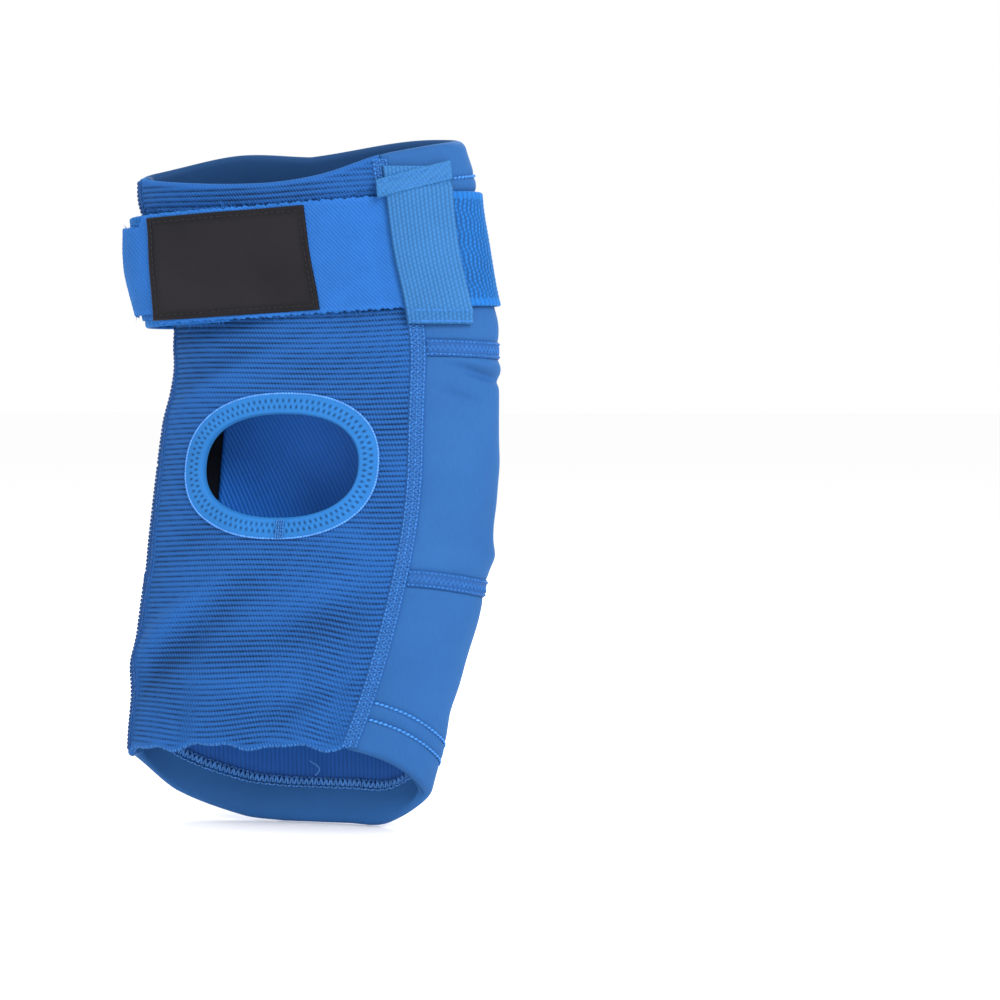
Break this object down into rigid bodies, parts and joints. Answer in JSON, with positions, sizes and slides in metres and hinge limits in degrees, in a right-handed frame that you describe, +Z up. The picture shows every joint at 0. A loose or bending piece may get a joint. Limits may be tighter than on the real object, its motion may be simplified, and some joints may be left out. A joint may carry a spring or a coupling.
{
  "type": "padded elbow sleeve",
  "caption": "Stretch elbow sleeve with an oval foam pad over the elbow point, an oval opening over the elbow pit and an elastic strap with a peel-off tab.",
  "frame": {"origin": "centre of the bounding box's base, in the open forearm end of the arm passage", "axes": "+Z up the arm from the forearm end to the upper-arm end, +Y out through the foam pad at the back of the elbow, -Y out through the knit panel at the elbow pit, +X towards the keeper loop's side"},
  "size_m": [0.1398, 0.0694, 0.242],
  "materials": {
    "neoprene": "matt fine jersey over foam rubber",
    "knit": "ribbed stretch knit",
    "lining": "smooth jersey",
    "thread": "overlocked polyester thread",
    "elastic": "knitted elastic webbing",
    "tab": "brushed hook and loop fabric",
    "keeper": "ribbed elastic webbing",
    "binding": "stretch edge binding",
    "label": "woven patch",
    "foam": "closed-cell foam"
  },
  "bodies": {
    "forearm_cuff": {"forearm_neoprene_panel": "neoprene", "forearm_knit_panel": "knit", "forearm_side_seam_right": "thread", "forearm_side_seam_left": "thread", "forearm_hem_fold": "neoprene"},
    "elbow_section": {"elbow_neoprene_panel": "neoprene", "elbow_knit_panel": "knit", "elbow_side_seam_right": "thread", "elbow_side_seam_left": "thread", "lower_cross_seam_right": "thread", "lower_cross_seam_left": "thread", "foam_pad": "foam", "pad_cover": "neoprene", "pad_border_seam": "thread", "pad_lining": "lining", "pit_opening_binding": "binding"},
    "upper_cuff": {"upper_neoprene_panel": "neoprene", "upper_knit_panel": "knit", "upper_side_seam_right": "thread", "upper_side_seam_left": "thread", "upper_hem_fold": "neoprene", "upper_cross_seam_right": "thread", "upper_cross_seam_left": "thread", "strap_elastic": "elastic", "strap_loop_patch": "tab", "keeper_loop": "keeper", "keeper_bottom_bartack": "thread", "keeper_top_bartack": "thread"},
    "strap_tab_end": {"strap_tab": "tab", "tab_hook_patch": "tab", "tab_label": "label"}
  },
  "joints": [
    {"name": "elbow_flex_lower", "type": "hinge", "parent": "forearm_cuff", "child": "elbow_section", "pos_m": [0, -0.0232, 0.0875], "axis": [1, 0, 0], "range_deg": [0, 30], "stiffness_Nm_per_rad": 0.6},
    {"name": "elbow_flex_upper", "type": "hinge", "parent": "elbow_section", "child": "upper_cuff", "pos_m": [0, -0.0232, 0.1655], "axis": [1, 0, 0], "range_deg": [0, 30], "stiffness_Nm_per_rad": 0.6},
    {"name": "strap_tab_peel", "type": "hinge", "parent": "upper_cuff", "child": "strap_tab_end", "pos_m": [0.03429, -0.02635, 0.20182], "axis": [-0.1825, -0.1511, 0.9715], "range_deg": [0, 110]}
  ],
  "couplings": [
    {"joint": "elbow_flex_upper", "follows": "elbow_flex_lower", "ratio": 1}
  ]
}
